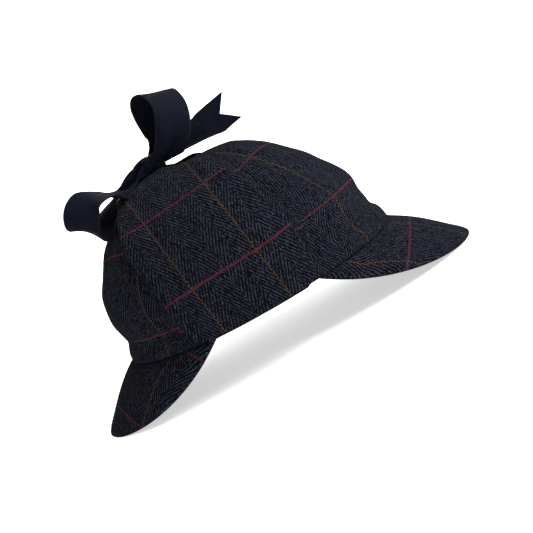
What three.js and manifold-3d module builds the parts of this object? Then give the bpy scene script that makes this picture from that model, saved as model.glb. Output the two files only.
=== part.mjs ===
// A deerstalker hat of herringbone tweed: a six-gore crown, a peak before and behind,
// two ear flaps turned up over the crown and tied on top with a ribbon bow.
// Millimetres. +X is the wearer's front, +Y the wearer's left, +Z up. The hat stands on
// the edges of its two peaks at z = 0.
import * as THREE from 'three';
import { mergeVertices } from 'three/addons/utils/BufferGeometryUtils.js';
import Module from 'manifold-3d';

const wasm = await Module();
wasm.setup();

// Crown
const RIM_LENGTH = 206.8; // the rim's outside, front to back
const RIM_WIDTH = 160; // and side to side
const CROWN_HEIGHT = 103.5; // from the rim to the top
const CROWN_WALL = 2.4; // two layers of cloth
const GORE_COUNT = 6;
const GORE_FULLNESS = 1.1; // how far a gore stands out between its seams
const RIM_HEIGHT = 38.6; // the rim above what the peaks stand on

// Peaks
const FRONT_PEAK_DEPTH = 47.4; // in plan, from the rim to the edge
const BACK_PEAK_DEPTH = 40.4;
const PEAK_WIDTH = 158.4; // the edge's ellipse, side to side
const PEAK_THICKNESS = 3.6;
const PEAK_BULGE = 2.6; // how far its middle stands over a straight slope
const PEAK_FOOT = 3; // the width of the flattened edge that it rests on
const PEAK_PRESS = 0.6; // how far the foot would go under the floor if it weren't flat
const PEAK_SIDE_ANGLE = 65 * Math.PI / 180; // where it leaves the rim, from the centre line
const PEAK_CORNER_DEPTH = 5; // at the very ends, so that they stay solid
const PEAK_EDGE_SHARE = 0.55; // the edge's thickness as a share of the whole
// Powers of the place along the rim: how late towards the ends the peak loses its drop and
// its bulge, and the corners turn inward.
const PEAK_POWERS = { drop: 3.5, bulge: 4, corner: 12 };

// Ear flaps
const FLAP_HALF_WIDTH = 54;
const FLAP_CENTRE = -12; // its middle, from the crown's centre
const FLAP_THICKNESS = 5.6;
const FLAP_TIP_ANGLE = 88.6 * Math.PI / 180; // how far it goes over the crown, from the rim
const FLAP_UPRIGHT = 0.06; // radians over the rim where it still stands straight up
const FLAP_LEAN_SHARE = 0.85; // of the tip's angle, from where it leans on the other flap
// How full its padding is on the border and in the rows beside it.
const FLAP_FULLNESS = [0.62, 0.92, 1];
const FLAP_EDGE_LIFT = 0.2; // how far its inside rounds off at the border, as a share
const BRIDGE_FROM = 0.34; // of the crown's height, from where the flaps leave the pinch open

// Ribbon
const RIBBON_WIDTH = 26;
const RIBBON_THICKNESS = 1.2;
const BOW_PLACE = -20.8; // the knot, from the crown's centre
const KNOT_LENGTH = 17;
const KNOT_WIDTH = 15;
const KNOT_HEIGHT = 11;
const KNOT_SQUARENESS = 0.4; // 0 is round, 1 a block
const FRONT_LOOP_LENGTH = 50; // from the knot's middle
const REAR_LOOP_LENGTH = 62;
const TAIL_LENGTH = 68;
const BOW_LEAN = 29.7 * Math.PI / 180; // the bow's up axis leans forward
const BOW_TILT = 10.7 * Math.PI / 180; // and to the far side
const TAIL_NOTCH = 11; // the depth of the swallowtail cut
const NOTCH_FROM = 0.6; // of the tail's length

const GAP = 0.3; // between pieces that touch
const FLAP_GAP = 0.6; // between a flap and the facets of the crown's curve

// How finely each surface is divided
const STEPS_AROUND = 48;
const STEPS_UP = 21;
const PEAK_COLUMNS = 33;
const PEAK_ROWS = 7;
const FLAP_COLUMNS = 14;
const FLAP_ROWS = 20;
const RIBBON_STEPS = 3; // for each row of its table
const RIBBON_COLUMNS = 2;
const KNOT_STEPS = [20, 12]; // around and from end to end
const LEVEL_SAMPLES = 240; // of the crown's table
const HALVINGS = 40; // of the distance to the crown's surface
const NORMAL_STEP = { along: 2, turn: 0.03 }; // millimetres and radians to either side
const ANGLE_MARGIN = { rim: 0.035, tip: 0.01 }; // radians kept from the flap's two ends

// The crown's outside, a row for each level: its height as a share of CROWN_HEIGHT, its
// reach to the front and back as shares of half RIM_LENGTH, and to the side as a share
// of half RIM_WIDTH. The rows near 0.135 are the pinch over the rim.
const CROWN_LEVELS = [
  { height: 0, front: 1.008, back: 0.994, side: 1 },
  { height: 0.048, front: 1.002, back: 0.991, side: 0.995 },
  { height: 0.092, front: 0.988, back: 0.975, side: 0.982 },
  { height: 0.135, front: 0.952, back: 0.96, side: 0.957 },
  { height: 0.203, front: 0.942, back: 0.979, side: 0.967 },
  { height: 0.27, front: 0.931, back: 0.994, side: 0.977 },
  { height: 0.348, front: 0.928, back: 0.994, side: 0.98 },
  { height: 0.415, front: 0.905, back: 0.982, side: 0.965 },
  { height: 0.493, front: 0.86, back: 0.953, side: 0.932 },
  { height: 0.57, front: 0.8, back: 0.905, side: 0.88 },
  { height: 0.667, front: 0.727, back: 0.84, side: 0.79 },
  { height: 0.758, front: 0.633, back: 0.774, side: 0.68 },
  { height: 0.845, front: 0.535, back: 0.667, side: 0.544 },
  { height: 0.903, front: 0.455, back: 0.58, side: 0.431 },
  { height: 0.942, front: 0.387, back: 0.484, side: 0.338 },
  { height: 0.971, front: 0.321, back: 0.387, side: 0.256 },
  { height: 0.99, front: 0.193, back: 0.252, side: 0.156 },
  { height: 1, front: 0, back: 0, side: 0 },
];

// The flap's outline, a row for each level: how far up it lies as a share of the tip's
// angle, and its rear and front edges from its middle as shares of FLAP_HALF_WIDTH.
const FLAP_LEVELS = [
  { up: 0, rear: -0.55, front: 0.74 },
  { up: 0.034, rear: -0.72, front: 0.88 },
  { up: 0.09, rear: -0.79, front: 0.945 },
  { up: 0.23, rear: -0.8, front: 0.95 },
  { up: 0.4, rear: -0.845, front: 0.9 },
  { up: 0.57, rear: -0.915, front: 0.775 },
  { up: 0.7, rear: -0.925, front: 0.633 },
  { up: 0.84, rear: -0.87, front: 0.43 },
  { up: 0.93, rear: -0.79, front: 0.3 },
  { up: 0.975, rear: -0.69, front: 0.17 },
  { up: 1, rear: -0.55, front: 0.06 },
];

// The bow's ribbons, a row for each place: right, up and near from the knot's middle in
// the bow's leaning frame, as shares of the piece's length, the direction across the
// ribbon in the same frame, and its width as a share of RIBBON_WIDTH.
const FRONT_LOOP = [
  { right: 0.08, up: 0.1, near: 0.06, acrossRight: 0.95, acrossUp: 0.1, acrossNear: -0.3, width: 0.42 },
  { right: 0.24, up: 0.2, near: 0.15, acrossRight: 0.93, acrossUp: 0.1, acrossNear: -0.35, width: 0.75 },
  { right: 0.27, up: 0.38, near: 0.24, acrossRight: 0.92, acrossUp: 0.05, acrossNear: -0.39, width: 0.97 },
  { right: 0.24, up: 0.66, near: 0.26, acrossRight: 0.92, acrossUp: 0, acrossNear: -0.39, width: 1 },
  { right: 0.18, up: 0.87, near: 0.18, acrossRight: 0.92, acrossUp: 0, acrossNear: -0.39, width: 1 },
  { right: 0.04, up: 1, near: 0, acrossRight: 0.92, acrossUp: 0.05, acrossNear: -0.39, width: 1 },
  { right: -0.08, up: 0.87, near: -0.16, acrossRight: 0.92, acrossUp: 0, acrossNear: -0.39, width: 1 },
  { right: -0.04, up: 0.64, near: -0.18, acrossRight: 0.92, acrossUp: 0, acrossNear: -0.39, width: 0.97 },
  { right: 0.06, up: 0.36, near: -0.12, acrossRight: 0.92, acrossUp: 0, acrossNear: -0.39, width: 0.8 },
  { right: 0.05, up: 0.2, near: -0.07, acrossRight: 0.92, acrossUp: 0, acrossNear: -0.39, width: 0.5 },
  { right: 0.01, up: 0.08, near: -0.04, acrossRight: 0.92, acrossUp: 0, acrossNear: -0.39, width: 0.36 },
];
const REAR_LOOP = [
  { right: -0.02, up: -0.01, near: 0.03, acrossRight: 0.6, acrossUp: -0.6, acrossNear: 0.5, width: 0.36 },
  { right: -0.12, up: -0.08, near: 0.05, acrossRight: 0.6, acrossUp: -0.6, acrossNear: 0.5, width: 0.42 },
  { right: -0.22, up: -0.19, near: 0.07, acrossRight: 0.7, acrossUp: -0.5, acrossNear: 0.5, width: 0.45 },
  { right: -0.39, up: -0.27, near: 0.13, acrossRight: 0.75, acrossUp: -0.1, acrossNear: 0.65, width: 0.75 },
  { right: -0.6, up: -0.31, near: 0.23, acrossRight: 0.9, acrossUp: -0.05, acrossNear: 0.42, width: 1 },
  { right: -0.78, up: -0.39, near: 0.32, acrossRight: 0.95, acrossUp: -0.1, acrossNear: 0.3, width: 1 },
  { right: -0.84, up: -0.56, near: 0.35, acrossRight: 0.98, acrossUp: 0, acrossNear: 0.2, width: 1 },
  { right: -0.79, up: -0.72, near: 0.26, acrossRight: 0.95, acrossUp: -0.25, acrossNear: 0.2, width: 1 },
  { right: -0.64, up: -0.7, near: 0.08, acrossRight: 0.5, acrossUp: -0.5, acrossNear: 0.7, width: 1 },
  { right: -0.45, up: -0.38, near: -0.12, acrossRight: 0.45, acrossUp: -0.5, acrossNear: 0.65, width: 0.85 },
  { right: -0.26, up: -0.13, near: -0.12, acrossRight: 0.6, acrossUp: -0.4, acrossNear: 0.7, width: 0.55 },
  { right: -0.1, up: -0.06, near: -0.07, acrossRight: 0.6, acrossUp: -0.5, acrossNear: 0.6, width: 0.42 },
  { right: -0.02, up: -0.01, near: -0.03, acrossRight: 0.6, acrossUp: -0.5, acrossNear: 0.6, width: 0.36 },
];
const FRONT_TAIL = [
  { right: 0.06, up: 0, near: -0.04, acrossRight: 0.2, acrossUp: -0.2, acrossNear: 0.9, width: 0.34 },
  { right: 0.14, up: 0.035, near: -0.09, acrossRight: 0.25, acrossUp: -0.35, acrossNear: 0.85, width: 0.42 },
  { right: 0.24, up: 0.14, near: -0.12, acrossRight: 0.25, acrossUp: -0.65, acrossNear: 0.65, width: 0.55 },
  { right: 0.36, up: 0.26, near: -0.15, acrossRight: 0.19, acrossUp: -0.79, acrossNear: 0.58, width: 0.82 },
  { right: 0.52, up: 0.37, near: -0.14, acrossRight: 0.19, acrossUp: -0.79, acrossNear: 0.58, width: 1 },
  { right: 0.65, up: 0.49, near: -0.14, acrossRight: 0.25, acrossUp: -0.79, acrossNear: 0.55, width: 1 },
  { right: 0.78, up: 0.61, near: -0.12, acrossRight: 0.3, acrossUp: -0.79, acrossNear: 0.5, width: 1 },
];
// The far tail lies over the far flap, so its rows go along, aside and up from the knot.
const FAR_TAIL = [
  { along: 0, aside: 0.04, up: 0, width: 0.36 },
  { along: 0, aside: 0.13, up: -0.01, width: 0.42 },
  { along: -0.03, aside: 0.25, up: -0.03, width: 0.7 },
  { along: -0.08, aside: 0.42, up: -0.09, width: 1 },
  { along: -0.12, aside: 0.6, up: -0.2, width: 1 },
  { along: -0.15, aside: 0.76, up: -0.35, width: 1 },
  { along: -0.18, aside: 0.88, up: -0.45, width: 1 },
];

const CLOTH = { color: new THREE.Color(0.075, 0.09, 0.13), roughness: 0.95 };
const RIBBON = { color: new THREE.Color(0.05, 0.065, 0.115), roughness: 0.7 };

// The crown's centre lies this far from the middle of the hat's length.
const CENTRE = (BACK_PEAK_DEPTH - FRONT_PEAK_DEPTH) / 2;

const group = new THREE.Group();

function addPiece(name, geometry, finish) {
  const material = new THREE.MeshStandardMaterial({ ...finish, metalness: 0 });
  const mesh = new THREE.Mesh(geometry, material);
  mesh.name = name;
  mesh.position.set(CENTRE, 0, RIM_HEIGHT);
  group.add(mesh);
}

function smooth(rows, columns, share) {
  // The named columns of a table at a share of the way down its rows, on a smooth curve.
  const found = {};
  const at = Math.min(Math.max(share, 0), 1) * (rows.length - 1);
  const k = Math.min(Math.floor(at), rows.length - 2);
  const t = at - k;
  const near = [k - 1, k, k + 1, k + 2].map((i) => rows[THREE.MathUtils.clamp(i, 0, rows.length - 1)]);
  for (const column of columns) {
    const [a, b, c, d] = near.map((row) => row[column]);
    found[column] = b + 0.5 * t * (c - a + t * (2 * a - 5 * b + 4 * c - d + t * (3 * (b - c) + d - a)));
  }
  return found;
}

// A closed body between two grids of points with the same counts. Each grid is a list of
// rows, and a row a list of points. With around, each row's last point joins its first.
// With pole, the last row of each grid is one point repeated, and is joined as a fan.
function bodyBetween(outer, inner, { around = false, pole = false } = {}) {
  const rows = outer.length;
  const columns = outer[0].length;
  const positions = [];
  const faces = [];
  const index = [outer, inner].map((grid) => grid.map((row, r) => {
    if (pole && r === rows - 1) {
      positions.push(...row[0].toArray());
      return row.map(() => positions.length / 3 - 1);
    }
    return row.map((point) => {
      positions.push(...point.toArray());
      return positions.length / 3 - 1;
    });
  }));
  function quad(a, b, c, d) {
    if (a !== b && b !== c && c !== a) faces.push(a, b, c);
    if (a !== c && c !== d && d !== a) faces.push(a, c, d);
  }
  const lastColumn = around ? columns : columns - 1;
  for (let r = 0; r < rows - 1; r += 1) {
    for (let c = 0; c < lastColumn; c += 1) {
      const n = (c + 1) % columns;
      quad(index[0][r][c], index[0][r][n], index[0][r + 1][n], index[0][r + 1][c]);
      quad(index[1][r][c], index[1][r + 1][c], index[1][r + 1][n], index[1][r][n]);
    }
    if (!around) {
      quad(index[0][r][0], index[0][r + 1][0], index[1][r + 1][0], index[1][r][0]);
      const e = columns - 1;
      quad(index[0][r][e], index[1][r][e], index[1][r + 1][e], index[0][r + 1][e]);
    }
  }
  for (let c = 0; c < lastColumn; c += 1) {
    const n = (c + 1) % columns;
    quad(index[0][0][n], index[0][0][c], index[1][0][c], index[1][0][n]);
    if (!pole) {
      const e = rows - 1;
      quad(index[0][e][c], index[0][e][n], index[1][e][n], index[1][e][c]);
    }
  }
  const geometry = new THREE.BufferGeometry();
  geometry.setAttribute('position', new THREE.Float32BufferAttribute(positions, 3));
  geometry.setIndex(faces);
  if (signedVolume(positions, faces) < 0) {
    const flipped = [];
    for (let i = 0; i < faces.length; i += 3) flipped.push(faces[i], faces[i + 2], faces[i + 1]);
    geometry.setIndex(flipped);
  }
  geometry.computeVertexNormals();
  return geometry;
}

function signedVolume(positions, faces) {
  const point = (i) => new THREE.Vector3().fromArray(positions, 3 * i);
  let volume = 0;
  for (let i = 0; i < faces.length; i += 3) {
    volume += point(faces[i]).dot(point(faces[i + 1]).cross(point(faces[i + 2]))) / 6;
  }
  return volume;
}

function mirrored(geometry) {
  // The same piece on the wearer's other side.
  const copy = geometry.clone().scale(1, -1, 1);
  const faces = Array.from(copy.index.array);
  for (let i = 0; i < faces.length; i += 3) [faces[i + 1], faces[i + 2]] = [faces[i + 2], faces[i + 1]];
  copy.setIndex(faces);
  copy.computeVertexNormals();
  return copy;
}

// The crown at a share of the way up its rows: half-lengths forward, back and aside.
function crownLevel(share) {
  const row = smooth(CROWN_LEVELS, ['height', 'front', 'back', 'side'], share);
  return {
    z: row.height * CROWN_HEIGHT,
    front: row.front * RIM_LENGTH / 2,
    back: row.back * RIM_LENGTH / 2,
    side: row.side * RIM_WIDTH / 2,
  };
}

const CROWN_SAMPLES = Array.from({ length: LEVEL_SAMPLES + 1 }, (_, i) => crownLevel(i / LEVEL_SAMPLES));

// The same at a height. With bridged it leaves out the pinch, as what is stretched over
// the crown does.
const BRIDGE_LEVEL = CROWN_LEVELS.findIndex((row) => row.height > BRIDGE_FROM) / (CROWN_LEVELS.length - 1);
function crownAt(z, bridged = false) {
  if (bridged && z < crownLevel(BRIDGE_LEVEL).z) {
    const [foot, head, here] = [crownLevel(0), crownLevel(BRIDGE_LEVEL), crownAt(z)];
    const mix = (key) => Math.max(here[key], THREE.MathUtils.lerp(foot[key], head[key], z / head.z));
    return { front: mix('front'), back: mix('back'), side: mix('side') };
  }
  const i = Math.max(1, CROWN_SAMPLES.findIndex((level) => level.z >= z));
  const [below, above] = [CROWN_SAMPLES[i - 1], CROWN_SAMPLES[i]];
  const t = THREE.MathUtils.clamp((z - below.z) / (above.z - below.z), 0, 1);
  return {
    front: THREE.MathUtils.lerp(below.front, above.front, t),
    back: THREE.MathUtils.lerp(below.back, above.back, t),
    side: THREE.MathUtils.lerp(below.side, above.side, t),
  };
}

function crownPoint(angle, level, inset) {
  // Each gore bulges between its seams, which are deepest half way up.
  const depth = GORE_FULLNESS * Math.sin(Math.PI * level.z / CROWN_HEIGHT);
  const bulge = depth * (Math.abs(Math.sin(angle * GORE_COUNT / 2)) - 1);
  const reach = Math.cos(angle) > 0 ? level.front : level.back;
  const shrink = (length) => Math.max(length - inset + (length > CROWN_WALL * 6 ? bulge : 0), 0);
  return new THREE.Vector3(
    shrink(reach) * Math.cos(angle),
    shrink(level.side) * Math.sin(angle),
    level.z,
  );
}

function makeCrown() {
  const grids = [0, CROWN_WALL].map((inset) => Array.from({ length: STEPS_UP + 1 }, (_, r) => {
    const level = crownLevel(r / STEPS_UP);
    const flat = level.z / CROWN_HEIGHT;
    // The inside keeps its wall under the nearly flat top too.
    const lowered = { ...level, z: level.z - inset * flat ** 3 };
    if (r === 0) lowered.z = 0;
    return Array.from({ length: STEPS_AROUND }, (_, c) => (
      crownPoint(2 * Math.PI * c / STEPS_AROUND, lowered, r === STEPS_UP ? 0 : inset)
    ));
  }));
  return bodyBetween(grids[0], grids[1], { around: true, pole: true });
}

// Where a ray from the crown's axis line at x, at an angle over the rim, meets the crown.
function crownAlong(x, angle) {
  let [near, far] = [0, RIM_LENGTH];
  for (let i = 0; i < HALVINGS; i += 1) {
    const reach = (near + far) / 2;
    const [y, z] = [-reach * Math.cos(angle), reach * Math.sin(angle)];
    const level = z >= CROWN_HEIGHT ? null : crownAt(z, true);
    const inside = level && (x / (x > 0 ? level.front : level.back)) ** 2 + (y / level.side) ** 2 < 1;
    [near, far] = inside ? [reach, far] : [near, reach];
  }
  return new THREE.Vector3(x, -near * Math.cos(angle), near * Math.sin(angle));
}

function crownNormal(x, angle) {
  const { along: step, turn } = NORMAL_STEP;
  const along = crownAlong(x + step, angle).sub(crownAlong(x - step, angle));
  const up = crownAlong(x, angle + turn).sub(crownAlong(x, angle - turn));
  const normal = up.cross(along).normalize();
  return normal.z < 0 && normal.y > 0 ? normal.negate() : normal;
}

// A peak's upper face, for s from -1 to 1 along the rim and v from 0 there to 1 at its
// edge: a straight line between the two ellipses, with a low bulge. Its slope goes a
// little under the floor, so that the edge can be flattened into a foot.
function peakPoint(s, v, depth) {
  const [rimX, rimY] = [RIM_LENGTH / 2, RIM_WIDTH / 2];
  const [edgeX, edgeY] = [rimX + depth, PEAK_WIDTH / 2];
  const seamAngle = s * PEAK_SIDE_ANGLE;
  const edgeAngle = s * Math.acos(rimX * Math.cos(PEAK_SIDE_ANGLE) / edgeX);
  const bulgeAt = (share) => PEAK_BULGE * 4 * share * (1 - share);
  const press = PEAK_FOOT * RIM_HEIGHT / depth + bulgeAt(1 - PEAK_FOOT / depth) + PEAK_PRESS;
  const drop = (RIM_HEIGHT - GAP - PEAK_THICKNESS + press) * (1 - Math.abs(s) ** PEAK_POWERS.drop);
  const seam = new THREE.Vector3(rimX * Math.cos(seamAngle), rimY * Math.sin(seamAngle), -GAP);
  const edge = new THREE.Vector3(edgeX * Math.cos(edgeAngle), edgeY * Math.sin(edgeAngle), -GAP - drop);
  const inward = new THREE.Vector3(rimX, 0, 0).sub(seam).setZ(-rimX / 2).normalize();
  edge.addScaledVector(inward, PEAK_CORNER_DEPTH * Math.abs(s) ** PEAK_POWERS.corner);
  const point = seam.clone().lerp(edge, v);
  point.z += bulgeAt(v) * (1 - Math.abs(s) ** PEAK_POWERS.bulge);
  const slope = new THREE.Vector3(edge.x - seam.x, edge.y - seam.y, 0);
  const fall = Math.atan2(seam.z - edge.z, Math.max(slope.length(), 1));
  return { point, slope: slope.normalize(), fall };
}

function makePeak(direction, depth) {
  const floor = -RIM_HEIGHT;
  const [upper, lower] = [[], []];
  for (let r = 0; r <= PEAK_ROWS + 1; r += 1) {
    // The last two rows bound the flattened edge, which is thinner.
    const atEdge = r > PEAK_ROWS;
    const v = atEdge ? 1 : r / PEAK_ROWS * (1 - PEAK_FOOT / depth);
    const thick = PEAK_THICKNESS * (atEdge ? PEAK_EDGE_SHARE : 1);
    const [upperRow, lowerRow] = [[], []];
    for (let c = 0; c <= PEAK_COLUMNS; c += 1) {
      const { point, slope, fall } = peakPoint(2 * c / PEAK_COLUMNS - 1, v, depth);
      const under = point.clone().addScaledVector(slope, -thick * Math.sin(fall) * (1 - v));
      under.z -= THREE.MathUtils.lerp(thick * Math.cos(fall), thick, v);
      if (atEdge) point.z -= PEAK_THICKNESS - thick;
      under.z = Math.max(under.z, floor);
      point.z = Math.max(point.z, floor + thick);
      upperRow.push(new THREE.Vector3(direction * point.x, point.y, point.z));
      lowerRow.push(new THREE.Vector3(direction * under.x, under.y, under.z));
    }
    upper.push(upperRow);
    lower.push(lowerRow);
  }
  return bodyBetween(upper, lower);
}

// The way out of the crown through a flap. At the rim it is level. At the tip it is
// straight up, because there the flap leans on the other one.
function flapNormal(x, angle) {
  const { rim, tip } = ANGLE_MARGIN;
  const normal = crownNormal(x, THREE.MathUtils.clamp(angle, rim, FLAP_TIP_ANGLE - tip));
  const lean = THREE.MathUtils.smoothstep(angle / FLAP_TIP_ANGLE, FLAP_LEAN_SHARE, 1);
  normal.y = Math.min(normal.y, 0) * (1 - lean);
  if (angle < FLAP_UPRIGHT) normal.z = 0;
  return normal.normalize();
}

function makeFlap() {
  const [outer, inner] = [[], []];
  for (let r = 0; r <= FLAP_ROWS; r += 1) {
    const row = smooth(FLAP_LEVELS, ['up', 'rear', 'front'], r / FLAP_ROWS);
    const angle = row.up * FLAP_TIP_ANGLE;
    const [outerRow, innerRow] = [[], []];
    for (let c = 0; c <= FLAP_COLUMNS; c += 1) {
      const place = THREE.MathUtils.lerp(row.rear, row.front, c / FLAP_COLUMNS);
      const x = FLAP_CENTRE + FLAP_HALF_WIDTH * place;
      const border = Math.min(c, FLAP_COLUMNS - c, r, FLAP_ROWS - r);
      const full = FLAP_THICKNESS * FLAP_FULLNESS[Math.min(border, FLAP_FULLNESS.length - 1)];
      const lift = border ? 0 : FLAP_THICKNESS * FLAP_EDGE_LIFT;
      const point = crownAlong(x, angle);
      const normal = flapNormal(x, angle);
      outerRow.push(point.clone().addScaledVector(normal, FLAP_GAP + full));
      innerRow.push(point.clone().addScaledVector(normal, FLAP_GAP + lift));
    }
    outer.push(outerRow);
    inner.push(innerRow);
  }
  return bodyBetween(outer, inner);
}

// A ribbon along a route. Each row of the route gives its centre, the direction across
// the ribbon, and its width as a share of RIBBON_WIDTH.
function ribbonAlong(route, notch = 0) {
  const curveOf = (points) => new THREE.CatmullRomCurve3(points, false, 'catmullrom');
  const places = curveOf(route.map((row) => row.place));
  const acrosses = curveOf(route.map((row) => row.across));
  const widths = curveOf(route.map((row) => new THREE.Vector3(row.width, 0, 0)));
  const [columns, steps] = [RIBBON_COLUMNS, RIBBON_STEPS * (route.length - 1)];
  const [front, back] = [[], []];
  for (let i = 0; i <= steps; i += 1) {
    const t = i / steps;
    const tangent = places.getTangent(t);
    const face = tangent.clone().cross(acrosses.getPoint(t)).normalize();
    const flat = face.clone().cross(tangent).normalize();
    const half = widths.getPoint(t).x * RIBBON_WIDTH / 2;
    const [frontRow, backRow] = [[], []];
    for (let c = 0; c <= columns; c += 1) {
      const s = 2 * c / columns - 1;
      const point = places.getPoint(t).addScaledVector(flat, s * half);
      // The swallowtail cut is deepest in the middle of the last rows.
      const cut = notch * THREE.MathUtils.smoothstep(t, NOTCH_FROM, 1) * (1 - Math.abs(s));
      point.addScaledVector(tangent, -cut);
      frontRow.push(point.clone().addScaledVector(face, RIBBON_THICKNESS / 2));
      backRow.push(point.clone().addScaledVector(face, -RIBBON_THICKNESS / 2));
    }
    front.push(frontRow);
    back.push(backRow);
  }
  return bodyBetween(front, back);
}

// The knot sits on the tips of the two flaps.
const KNOT_SEAT = crownAlong(BOW_PLACE, FLAP_TIP_ANGLE).z + FLAP_GAP + FLAP_THICKNESS;
const KNOT_MIDDLE = new THREE.Vector3(BOW_PLACE, 0, KNOT_SEAT + GAP + KNOT_HEIGHT / 2);

// The bow's leaning frame.
const LEANING_UP = new THREE.Vector3(0, Math.sin(BOW_TILT), Math.cos(BOW_TILT));
const BOW_AXES = {
  right: new THREE.Vector3(Math.cos(BOW_LEAN), 0, 0).addScaledVector(LEANING_UP, -Math.sin(BOW_LEAN)),
  up: new THREE.Vector3(Math.sin(BOW_LEAN), 0, 0).addScaledVector(LEANING_UP, Math.cos(BOW_LEAN)),
  near: new THREE.Vector3(0, -Math.cos(BOW_TILT), Math.sin(BOW_TILT)),
};
function inBow(right, up, near) {
  return new THREE.Vector3()
    .addScaledVector(BOW_AXES.right, right)
    .addScaledVector(BOW_AXES.up, up)
    .addScaledVector(BOW_AXES.near, near);
}

function bowRoute(table, length) {
  return table.map((row) => ({
    place: inBow(row.right, row.up, row.near).multiplyScalar(length).add(KNOT_MIDDLE),
    across: inBow(row.acrossRight, row.acrossUp, row.acrossNear),
    width: row.width,
  }));
}

function farTailRoute() {
  return FAR_TAIL.map((row) => ({
    place: new THREE.Vector3(row.along, row.aside, row.up).multiplyScalar(TAIL_LENGTH).add(KNOT_MIDDLE),
    across: new THREE.Vector3(1, 0, 0),
    width: row.width,
  }));
}

function makeKnot(grown = 0) {
  const geometry = new THREE.SphereGeometry(0.5, ...KNOT_STEPS);
  const position = geometry.attributes.position;
  for (let i = 0; i < position.count; i += 1) {
    // A sphere pressed towards a rounded block.
    const point = new THREE.Vector3().fromBufferAttribute(position, i);
    const squareness = Math.max(Math.abs(point.x), Math.abs(point.y), Math.abs(point.z)) * 2;
    point.multiplyScalar(squareness ** -KNOT_SQUARENESS);
    position.setXYZ(
      i,
      point.x * (KNOT_LENGTH + 2 * grown),
      point.y * (KNOT_WIDTH + 2 * grown),
      point.z * (KNOT_HEIGHT + 2 * grown),
    );
  }
  geometry.translate(KNOT_MIDDLE.x, KNOT_MIDDLE.y, KNOT_MIDDLE.z);
  geometry.computeVertexNormals();
  return geometry;
}

function toSolid(geometry) {
  const bare = geometry.clone();
  bare.deleteAttribute('normal');
  bare.deleteAttribute('uv');
  const merged = mergeVertices(bare, 1e-5);
  return new wasm.Manifold(new wasm.Mesh({
    numProp: 3,
    vertProperties: Float32Array.from(merged.attributes.position.array),
    triVerts: Uint32Array.from(merged.index.array),
  }));
}

function toGeometry(solid) {
  const mesh = solid.getMesh();
  const geometry = new THREE.BufferGeometry();
  geometry.setAttribute('position', new THREE.BufferAttribute(mesh.vertProperties, 3));
  geometry.setIndex(new THREE.BufferAttribute(mesh.triVerts, 1));
  geometry.computeVertexNormals();
  return geometry;
}

const knotRoom = toSolid(makeKnot(GAP));

// A ribbon that runs into the knot ends at the knot's outside.
function intoKnot(geometry) {
  return toGeometry(toSolid(geometry).subtract(knotRoom));
}

addPiece('crown', makeCrown(), CLOTH);
addPiece('front_peak', makePeak(1, FRONT_PEAK_DEPTH), CLOTH);
addPiece('back_peak', makePeak(-1, BACK_PEAK_DEPTH), CLOTH);
const flap = makeFlap();
addPiece('ear_flap_right', flap, CLOTH);
addPiece('ear_flap_left', mirrored(flap), CLOTH);
addPiece('bow_knot', makeKnot(), RIBBON);
const frontLoop = ribbonAlong(bowRoute(FRONT_LOOP, FRONT_LOOP_LENGTH));
const rearLoop = ribbonAlong(bowRoute(REAR_LOOP, REAR_LOOP_LENGTH));
const frontTail = ribbonAlong(bowRoute(FRONT_TAIL, TAIL_LENGTH), TAIL_NOTCH);
const farTail = ribbonAlong(farTailRoute(), TAIL_NOTCH);
addPiece('bow_loop_front', intoKnot(frontLoop), RIBBON);
addPiece('bow_loop_rear', intoKnot(rearLoop), RIBBON);
addPiece('bow_tail_front', intoKnot(frontTail), RIBBON);
addPiece('bow_tail_far', intoKnot(farTail), RIBBON);

export default group;
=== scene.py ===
# %% [markdown]
# # A tweed deerstalker hat
# The real hat is sewn from flat pieces of herringbone tweed: six gores make the crown, two
# stiffened peaks stand out before and behind, and two padded flaps are turned up over the
# crown and tied on top with a ribbon. This lesson makes each of them as a surface worked
# out from a few sizes, and gives the cloth its weave with shader nodes.

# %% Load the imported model
import math

import bmesh
import bpy
import numpy as np
from mathutils import Matrix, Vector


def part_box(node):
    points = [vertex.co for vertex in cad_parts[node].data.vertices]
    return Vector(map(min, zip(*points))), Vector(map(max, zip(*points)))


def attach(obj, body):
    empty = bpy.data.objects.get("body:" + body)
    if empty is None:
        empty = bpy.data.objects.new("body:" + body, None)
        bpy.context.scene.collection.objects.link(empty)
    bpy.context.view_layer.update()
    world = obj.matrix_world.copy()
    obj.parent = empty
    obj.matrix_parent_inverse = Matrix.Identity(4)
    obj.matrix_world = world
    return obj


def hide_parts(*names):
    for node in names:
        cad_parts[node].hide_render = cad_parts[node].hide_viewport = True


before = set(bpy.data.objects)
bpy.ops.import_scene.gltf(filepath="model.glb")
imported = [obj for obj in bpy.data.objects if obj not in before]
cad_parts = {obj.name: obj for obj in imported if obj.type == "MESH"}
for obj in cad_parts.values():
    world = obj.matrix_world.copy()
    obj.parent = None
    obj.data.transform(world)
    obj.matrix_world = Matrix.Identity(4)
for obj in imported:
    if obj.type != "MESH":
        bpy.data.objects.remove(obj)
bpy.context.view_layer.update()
print("nodes:", ", ".join(sorted(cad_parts)))

# %% [markdown]
# ## Sizes
# Everything is worked out in millimetres and turned to metres when a mesh is made. The
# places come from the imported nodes, so the surfaces lie where the solids are.

# %% Sizes that every piece uses
MM = 0.001


def box_mm(node):
    """A node's lowest and highest corners in millimetres."""
    return np.array(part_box(node), float) / MM


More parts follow.
